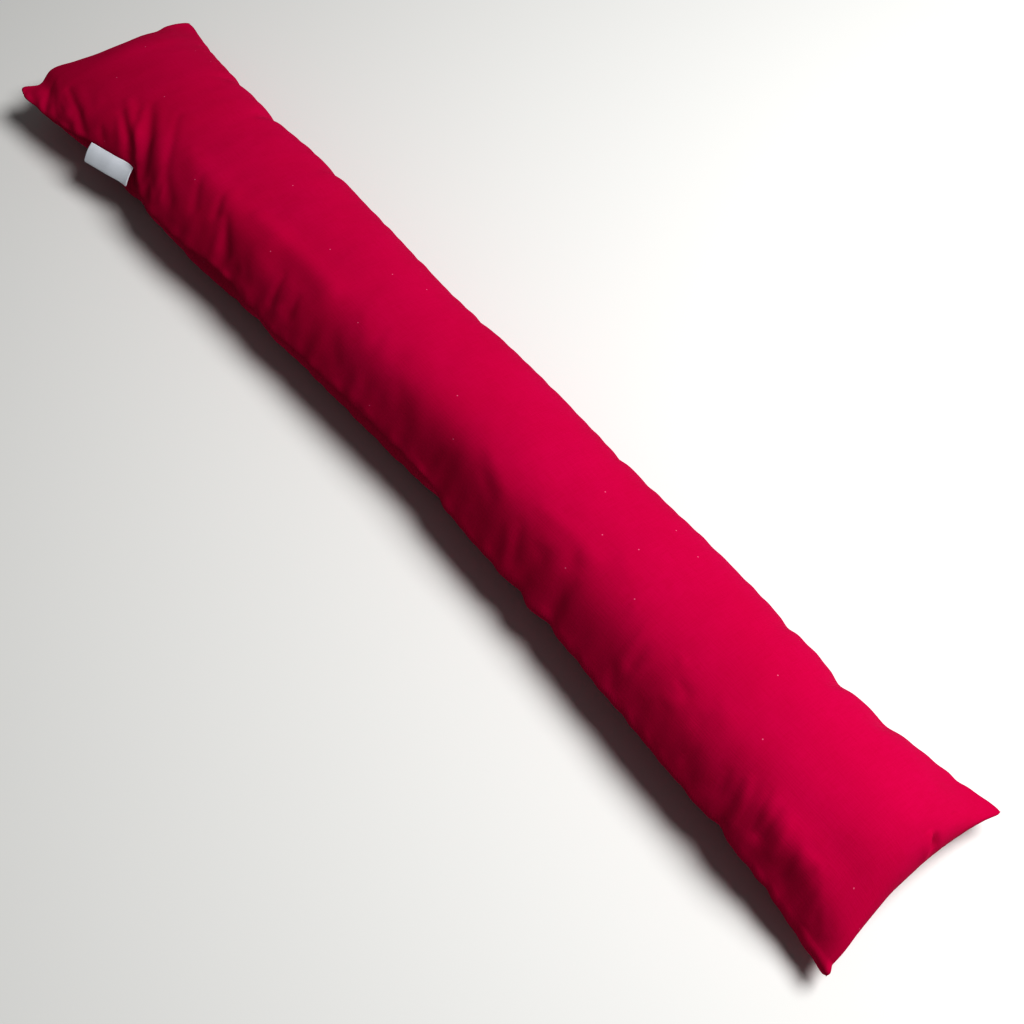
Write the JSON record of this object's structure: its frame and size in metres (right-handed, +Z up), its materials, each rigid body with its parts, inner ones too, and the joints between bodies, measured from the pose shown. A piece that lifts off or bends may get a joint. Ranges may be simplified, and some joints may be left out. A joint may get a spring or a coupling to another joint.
{
  "type": "draught excluder",
  "caption": "Long filled cloth cushion that lies along the foot of a door to keep out draughts, with pointed corners and a folded woven label in its long seam.",
  "frame": {"origin": "centre of the bounding box in X and Y, on the surface that the cushion lies on", "axes": "+X along the cushion, from the end with the label to the plain end; +Y across it, away from the label; +Z up"},
  "size_m": [1.1544, 0.2028, 0.1019],
  "materials": {
    "cotton_cover": "piece-dyed crimson cotton plain weave, matt, with a soft bloom at grazing angles",
    "woven_label": "pale blue-grey woven tape, folded and bare"
  },
  "bodies": {
    "root": {"cushion": "cotton_cover", "label": "woven_label"}
  },
  "joints": []
}
